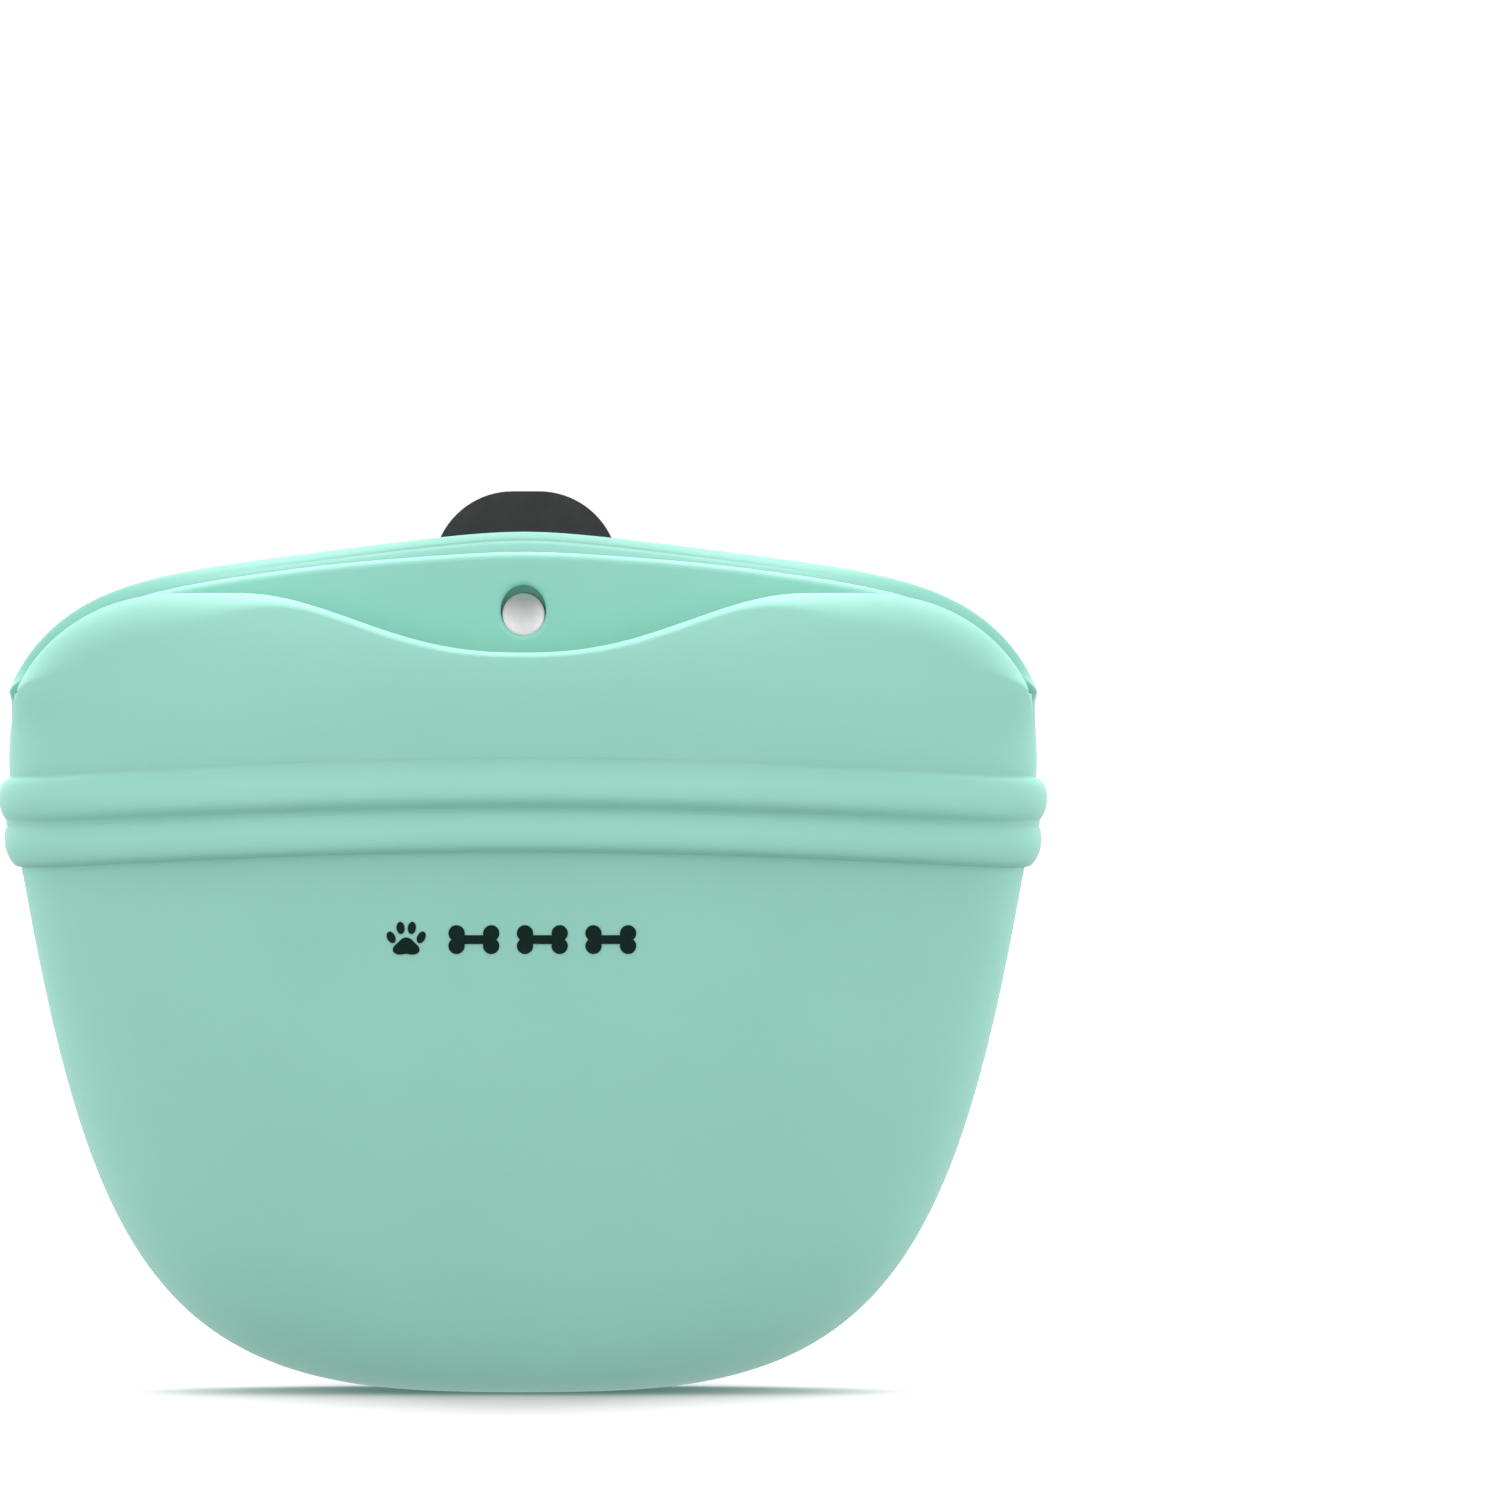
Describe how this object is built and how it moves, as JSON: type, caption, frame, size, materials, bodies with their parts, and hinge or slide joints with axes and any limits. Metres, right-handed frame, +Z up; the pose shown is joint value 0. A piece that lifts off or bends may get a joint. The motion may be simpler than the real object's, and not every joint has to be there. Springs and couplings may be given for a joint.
{
  "type": "treat pouch",
  "caption": "Soft silicone treat pouch with a ringed bag, a magnetic mouth whose front lip peels open, a steel rivet and a sprung belt clip.",
  "frame": {"origin": "centre of the flat base face the pouch stands on", "axes": "+X to the viewer's right across the width, -Y towards the front, +Z up to the mouth"},
  "size_m": [0.1404, 0.05, 0.1208],
  "materials": {
    "silicone": "matte mint silicone",
    "silicone_strip": "smooth mint silicone",
    "magnet": "nickel plated",
    "clip_plastic": "fine moulded texture",
    "steel": "satin",
    "spring_steel": "drawn wire"
  },
  "bodies": {
    "pouch": {"pouch_body": "silicone", "back_lip_cover": "silicone_strip", "lip_rivet": "steel", "back_magnet_1": "magnet", "back_magnet_2": "magnet", "back_magnet_3": "magnet", "back_magnet_4": "magnet", "clip_base": "clip_plastic", "clip_backing_plate": "clip_plastic", "clip_screws": "steel", "clip_hinge_pin": "steel", "clip_spring": "spring_steel"},
    "front_lip": {"front_lip": "silicone", "front_lip_cover": "silicone_strip", "front_magnet_1": "magnet", "front_magnet_2": "magnet", "front_magnet_3": "magnet", "front_magnet_4": "magnet"},
    "clip_lever": {"clip_lever": "clip_plastic"}
  },
  "joints": [
    {"name": "mouth_opening", "type": "hinge", "parent": "pouch", "child": "front_lip", "pos_m": [0, -0.0128, 0.087], "axis": [1, 0, 0], "range_deg": [0, 40], "stiffness_Nm_per_rad": 0.02},
    {"name": "clip_pivot", "type": "hinge", "parent": "pouch", "child": "clip_lever", "pos_m": [0, 0.0248, 0.08], "axis": [1, 0, 0], "range_deg": [0, 20], "stiffness_Nm_per_rad": 0.3, "springref_deg": -22.92, "deforming": ["clip_spring"]}
  ]
}
